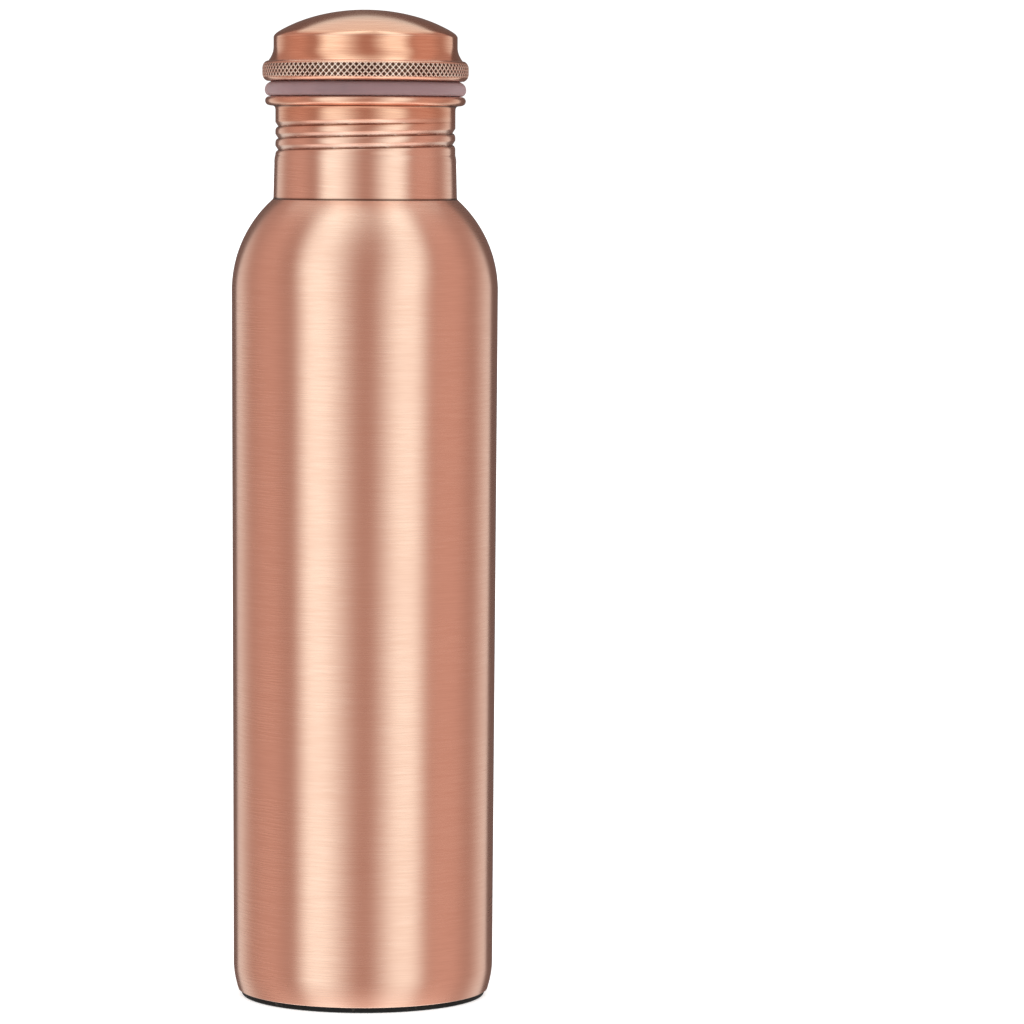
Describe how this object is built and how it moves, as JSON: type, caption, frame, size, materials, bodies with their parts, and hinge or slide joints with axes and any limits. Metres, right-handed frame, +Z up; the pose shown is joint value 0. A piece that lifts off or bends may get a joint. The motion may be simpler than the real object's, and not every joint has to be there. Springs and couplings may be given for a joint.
{
  "type": "water bottle",
  "caption": "Tall copper water bottle with a rounded shoulder, a roll-threaded neck and a domed screw-in cap with a knurled grip and a silicone gasket.",
  "frame": {"origin": "centre of the foot, on the surface that the bottle stands on", "axes": "+Z up along the bottle's axis, towards the cap; +X and +Y are free directions round it, and the neck thread's lower end points 72 degrees round from +X towards +Y"},
  "size_m": [0.075, 0.075, 0.2786],
  "materials": {
    "copper_body": "brushed copper, fine lines round the bottle",
    "copper_neck": "brushed copper",
    "copper_base": "satin copper, spun",
    "rubber_foot": "matt black rubber",
    "silicone_seal": "translucent grey silicone",
    "copper_grip": "knurled copper",
    "copper_cap": "brushed copper, lines round the dome",
    "copper_plug": "satin copper"
  },
  "bodies": {
    "bottle": {"body_shell": "copper_body", "neck_collar": "copper_neck", "base_plate": "copper_base", "foot_ring": "rubber_foot"},
    "gasket": {"sealing_gasket": "silicone_seal"},
    "cap": {"cap_shell": "copper_cap", "grip_ring": "copper_grip", "threaded_plug": "copper_plug", "plug_disc": "copper_plug"}
  },
  "joints": [
    {"name": "cap_rise", "type": "slide", "parent": "bottle", "child": "gasket", "axis": [0, 0, 1], "range_m": [0, 0.0231]},
    {"name": "cap_turn", "type": "hinge", "parent": "gasket", "child": "cap", "pos_m": [0, 0, 0.26], "axis": [0, 0, 1], "range_deg": [0, 2520]}
  ],
  "couplings": [
    {"joint": "cap_rise", "follows": "cap_turn", "m_per_rad": 0.00052521}
  ]
}
